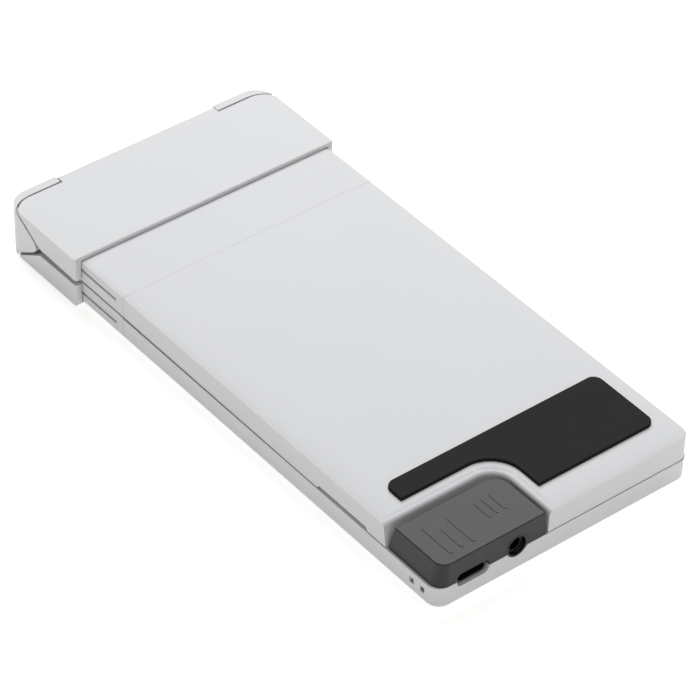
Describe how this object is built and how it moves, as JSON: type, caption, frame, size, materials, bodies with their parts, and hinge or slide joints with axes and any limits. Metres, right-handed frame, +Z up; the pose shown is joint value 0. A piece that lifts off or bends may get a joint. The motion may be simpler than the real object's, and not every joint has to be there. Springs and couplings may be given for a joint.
{
  "type": "folding keyboard controller",
  "caption": "Slim folding music keyboard controller, closed: two leaves of keys on a twin-pivot sliding hinge, with a corner housing for a data port and an audio jack.",
  "frame": {"origin": "middle of the folded case's underside", "axes": "+Y towards the hinge end, -Y towards the connectors, +X across the case to the edge nearest the player, +Z up through the folded leaves"},
  "size_m": [0.083, 0.175, 0.015],
  "materials": {
    "white_plastic": "fine satin texture",
    "pad_rubber": "matte",
    "grey_plastic": "fine matte texture",
    "bezel_plastic": "matte",
    "circuit_board": "solder mask",
    "dome_rubber": "translucent grey, matte",
    "screw_steel": "plated",
    "magnet_plating": "nickel plated",
    "black_plastic": "matte",
    "connector_steel": "tin plated",
    "flex_film": "polyimide film",
    "key_white": "satin gloss",
    "key_dark": "satin",
    "button_grey": "satin"
  },
  "bodies": {
    "lower_leaf": {"lower_shell": "white_plastic", "lower_key_frame": "bezel_plastic", "lower_circuit_board": "circuit_board", "lower_dome_sheet": "dome_rubber", "lower_foot_pad": "pad_rubber", "lower_shell_screws": "screw_steel", "lower_magnets": "magnet_plating", "control_chips": "black_plastic", "connector_housing": "grey_plastic", "connector_board": "circuit_board", "usb_c_shell": "connector_steel", "usb_c_tongue": "black_plastic", "jack_body": "black_plastic", "jack_ring": "black_plastic"},
    "lower_sleeve": {"lower_sleeve": "white_plastic"},
    "spine": {"hinge_spine": "white_plastic", "lower_hinge_pin": "screw_steel", "upper_hinge_pin": "screw_steel", "flex_cable": "flex_film"},
    "upper_sleeve": {"upper_sleeve": "white_plastic"},
    "upper_leaf": {"upper_shell": "white_plastic", "upper_key_frame": "bezel_plastic", "upper_end_bezel": "bezel_plastic", "upper_circuit_board": "circuit_board", "upper_dome_sheet": "dome_rubber", "upper_foot_pad": "pad_rubber", "upper_shell_screws": "screw_steel", "upper_magnets": "magnet_plating", "matrix_chips": "black_plastic"},
    "octave_down_button": {"octave_down_button": "button_grey"},
    "octave_up_button": {"octave_up_button": "button_grey"},
    "mode_button": {"mode_button": "button_grey"},
    "hold_button": {"hold_button": "button_grey"},
    "lower_key_b": {"lower_key_b": "key_white"},
    "lower_key_a": {"lower_key_a": "key_white"},
    "lower_key_g": {"lower_key_g": "key_white"},
    "lower_key_f": {"lower_key_f": "key_white"},
    "lower_key_e": {"lower_key_e": "key_white"},
    "lower_key_d": {"lower_key_d": "key_white"},
    "lower_key_c": {"lower_key_c": "key_white"},
    "lower_key_a_sharp": {"lower_key_a_sharp": "key_dark"},
    "lower_key_g_sharp": {"lower_key_g_sharp": "key_dark"},
    "lower_key_f_sharp": {"lower_key_f_sharp": "key_dark"},
    "lower_key_d_sharp": {"lower_key_d_sharp": "key_dark"},
    "lower_key_c_sharp": {"lower_key_c_sharp": "key_dark"},
    "upper_key_c": {"upper_key_c": "key_white"},
    "upper_key_d": {"upper_key_d": "key_white"},
    "upper_key_e": {"upper_key_e": "key_white"},
    "upper_key_f": {"upper_key_f": "key_white"},
    "upper_key_g": {"upper_key_g": "key_white"},
    "upper_key_a": {"upper_key_a": "key_white"},
    "upper_key_b": {"upper_key_b": "key_white"},
    "upper_key_c_high": {"upper_key_c_high": "key_white"},
    "upper_key_c_sharp": {"upper_key_c_sharp": "key_dark"},
    "upper_key_d_sharp": {"upper_key_d_sharp": "key_dark"},
    "upper_key_f_sharp": {"upper_key_f_sharp": "key_dark"},
    "upper_key_g_sharp": {"upper_key_g_sharp": "key_dark"},
    "upper_key_a_sharp": {"upper_key_a_sharp": "key_dark"}
  },
  "joints": [
    {"name": "lower_fold", "type": "hinge", "parent": "spine", "child": "lower_sleeve", "pos_m": [0, 0.0861, 0.0014], "axis": [1, 0, 0], "range_deg": [0, 90]},
    {"name": "upper_fold", "type": "hinge", "parent": "spine", "child": "upper_sleeve", "pos_m": [0, 0.0861, 0.0136], "axis": [-1, 0, 0], "range_deg": [0, 90]},
    {"name": "lower_slide", "type": "slide", "parent": "lower_sleeve", "child": "lower_leaf", "axis": [0, 1, 0], "range_m": [0, 0.0178]},
    {"name": "upper_slide", "type": "slide", "parent": "upper_sleeve", "child": "upper_leaf", "axis": [0, 1, 0], "range_m": [0, 0.0178]},
    {"name": "button_octave_down", "type": "slide", "parent": "lower_leaf", "child": "octave_down_button", "axis": [0, 0, -1], "range_m": [0, 0.0008], "stiffness_N_per_m": 400, "springref_m": -0.001, "deforming": ["lower_dome_sheet"]},
    {"name": "button_octave_up", "type": "slide", "parent": "lower_leaf", "child": "octave_up_button", "axis": [0, 0, -1], "range_m": [0, 0.0008], "stiffness_N_per_m": 400, "springref_m": -0.001, "deforming": ["lower_dome_sheet"]},
    {"name": "button_mode", "type": "slide", "parent": "lower_leaf", "child": "mode_button", "axis": [0, 0, -1], "range_m": [0, 0.0008], "stiffness_N_per_m": 400, "springref_m": -0.001, "deforming": ["lower_dome_sheet"]},
    {"name": "button_hold", "type": "slide", "parent": "lower_leaf", "child": "hold_button", "axis": [0, 0, -1], "range_m": [0, 0.0008], "stiffness_N_per_m": 400, "springref_m": -0.001, "deforming": ["lower_dome_sheet"]},
    {"name": "key_lower_b", "type": "slide", "parent": "lower_leaf", "child": "lower_key_b", "axis": [0, 0, -1], "range_m": [0, 0.0008], "stiffness_N_per_m": 400, "springref_m": -0.001, "deforming": ["lower_dome_sheet"]},
    {"name": "key_lower_a", "type": "slide", "parent": "lower_leaf", "child": "lower_key_a", "axis": [0, 0, -1], "range_m": [0, 0.0008], "stiffness_N_per_m": 400, "springref_m": -0.001, "deforming": ["lower_dome_sheet"]},
    {"name": "key_lower_g", "type": "slide", "parent": "lower_leaf", "child": "lower_key_g", "axis": [0, 0, -1], "range_m": [0, 0.0008], "stiffness_N_per_m": 400, "springref_m": -0.001, "deforming": ["lower_dome_sheet"]},
    {"name": "key_lower_f", "type": "slide", "parent": "lower_leaf", "child": "lower_key_f", "axis": [0, 0, -1], "range_m": [0, 0.0008], "stiffness_N_per_m": 400, "springref_m": -0.001, "deforming": ["lower_dome_sheet"]},
    {"name": "key_lower_e", "type": "slide", "parent": "lower_leaf", "child": "lower_key_e", "axis": [0, 0, -1], "range_m": [0, 0.0008], "stiffness_N_per_m": 400, "springref_m": -0.001, "deforming": ["lower_dome_sheet"]},
    {"name": "key_lower_d", "type": "slide", "parent": "lower_leaf", "child": "lower_key_d", "axis": [0, 0, -1], "range_m": [0, 0.0008], "stiffness_N_per_m": 400, "springref_m": -0.001, "deforming": ["lower_dome_sheet"]},
    {"name": "key_lower_c", "type": "slide", "parent": "lower_leaf", "child": "lower_key_c", "axis": [0, 0, -1], "range_m": [0, 0.0008], "stiffness_N_per_m": 400, "springref_m": -0.001, "deforming": ["lower_dome_sheet"]},
    {"name": "key_lower_a_sharp", "type": "slide", "parent": "lower_leaf", "child": "lower_key_a_sharp", "axis": [0, 0, -1], "range_m": [0, 0.0008], "stiffness_N_per_m": 400, "springref_m": -0.001, "deforming": ["lower_dome_sheet"]},
    {"name": "key_lower_g_sharp", "type": "slide", "parent": "lower_leaf", "child": "lower_key_g_sharp", "axis": [0, 0, -1], "range_m": [0, 0.0008], "stiffness_N_per_m": 400, "springref_m": -0.001, "deforming": ["lower_dome_sheet"]},
    {"name": "key_lower_f_sharp", "type": "slide", "parent": "lower_leaf", "child": "lower_key_f_sharp", "axis": [0, 0, -1], "range_m": [0, 0.0008], "stiffness_N_per_m": 400, "springref_m": -0.001, "deforming": ["lower_dome_sheet"]},
    {"name": "key_lower_d_sharp", "type": "slide", "parent": "lower_leaf", "child": "lower_key_d_sharp", "axis": [0, 0, -1], "range_m": [0, 0.0008], "stiffness_N_per_m": 400, "springref_m": -0.001, "deforming": ["lower_dome_sheet"]},
    {"name": "key_lower_c_sharp", "type": "slide", "parent": "lower_leaf", "child": "lower_key_c_sharp", "axis": [0, 0, -1], "range_m": [0, 0.0008], "stiffness_N_per_m": 400, "springref_m": -0.001, "deforming": ["lower_dome_sheet"]},
    {"name": "key_upper_c", "type": "slide", "parent": "upper_leaf", "child": "upper_key_c", "axis": [0, 0, 1], "range_m": [0, 0.0008], "stiffness_N_per_m": 400, "springref_m": -0.001, "deforming": ["upper_dome_sheet"]},
    {"name": "key_upper_d", "type": "slide", "parent": "upper_leaf", "child": "upper_key_d", "axis": [0, 0, 1], "range_m": [0, 0.0008], "stiffness_N_per_m": 400, "springref_m": -0.001, "deforming": ["upper_dome_sheet"]},
    {"name": "key_upper_e", "type": "slide", "parent": "upper_leaf", "child": "upper_key_e", "axis": [0, 0, 1], "range_m": [0, 0.0008], "stiffness_N_per_m": 400, "springref_m": -0.001, "deforming": ["upper_dome_sheet"]},
    {"name": "key_upper_f", "type": "slide", "parent": "upper_leaf", "child": "upper_key_f", "axis": [0, 0, 1], "range_m": [0, 0.0008], "stiffness_N_per_m": 400, "springref_m": -0.001, "deforming": ["upper_dome_sheet"]},
    {"name": "key_upper_g", "type": "slide", "parent": "upper_leaf", "child": "upper_key_g", "axis": [0, 0, 1], "range_m": [0, 0.0008], "stiffness_N_per_m": 400, "springref_m": -0.001, "deforming": ["upper_dome_sheet"]},
    {"name": "key_upper_a", "type": "slide", "parent": "upper_leaf", "child": "upper_key_a", "axis": [0, 0, 1], "range_m": [0, 0.0008], "stiffness_N_per_m": 400, "springref_m": -0.001, "deforming": ["upper_dome_sheet"]},
    {"name": "key_upper_b", "type": "slide", "parent": "upper_leaf", "child": "upper_key_b", "axis": [0, 0, 1], "range_m": [0, 0.0008], "stiffness_N_per_m": 400, "springref_m": -0.001, "deforming": ["upper_dome_sheet"]},
    {"name": "key_upper_c_high", "type": "slide", "parent": "upper_leaf", "child": "upper_key_c_high", "axis": [0, 0, 1], "range_m": [0, 0.0008], "stiffness_N_per_m": 400, "springref_m": -0.001, "deforming": ["upper_dome_sheet"]},
    {"name": "key_upper_c_sharp", "type": "slide", "parent": "upper_leaf", "child": "upper_key_c_sharp", "axis": [0, 0, 1], "range_m": [0, 0.0008], "stiffness_N_per_m": 400, "springref_m": -0.001, "deforming": ["upper_dome_sheet"]},
    {"name": "key_upper_d_sharp", "type": "slide", "parent": "upper_leaf", "child": "upper_key_d_sharp", "axis": [0, 0, 1], "range_m": [0, 0.0008], "stiffness_N_per_m": 400, "springref_m": -0.001, "deforming": ["upper_dome_sheet"]},
    {"name": "key_upper_f_sharp", "type": "slide", "parent": "upper_leaf", "child": "upper_key_f_sharp", "axis": [0, 0, 1], "range_m": [0, 0.0008], "stiffness_N_per_m": 400, "springref_m": -0.001, "deforming": ["upper_dome_sheet"]},
    {"name": "key_upper_g_sharp", "type": "slide", "parent": "upper_leaf", "child": "upper_key_g_sharp", "axis": [0, 0, 1], "range_m": [0, 0.0008], "stiffness_N_per_m": 400, "springref_m": -0.001, "deforming": ["upper_dome_sheet"]},
    {"name": "key_upper_a_sharp", "type": "slide", "parent": "upper_leaf", "child": "upper_key_a_sharp", "axis": [0, 0, 1], "range_m": [0, 0.0008], "stiffness_N_per_m": 400, "springref_m": -0.001, "deforming": ["upper_dome_sheet"]}
  ],
  "couplings": [
    {"joint": "lower_slide", "follows": "lower_fold", "m_per_rad": 0.01133},
    {"joint": "upper_slide", "follows": "upper_fold", "m_per_rad": 0.01133}
  ]
}
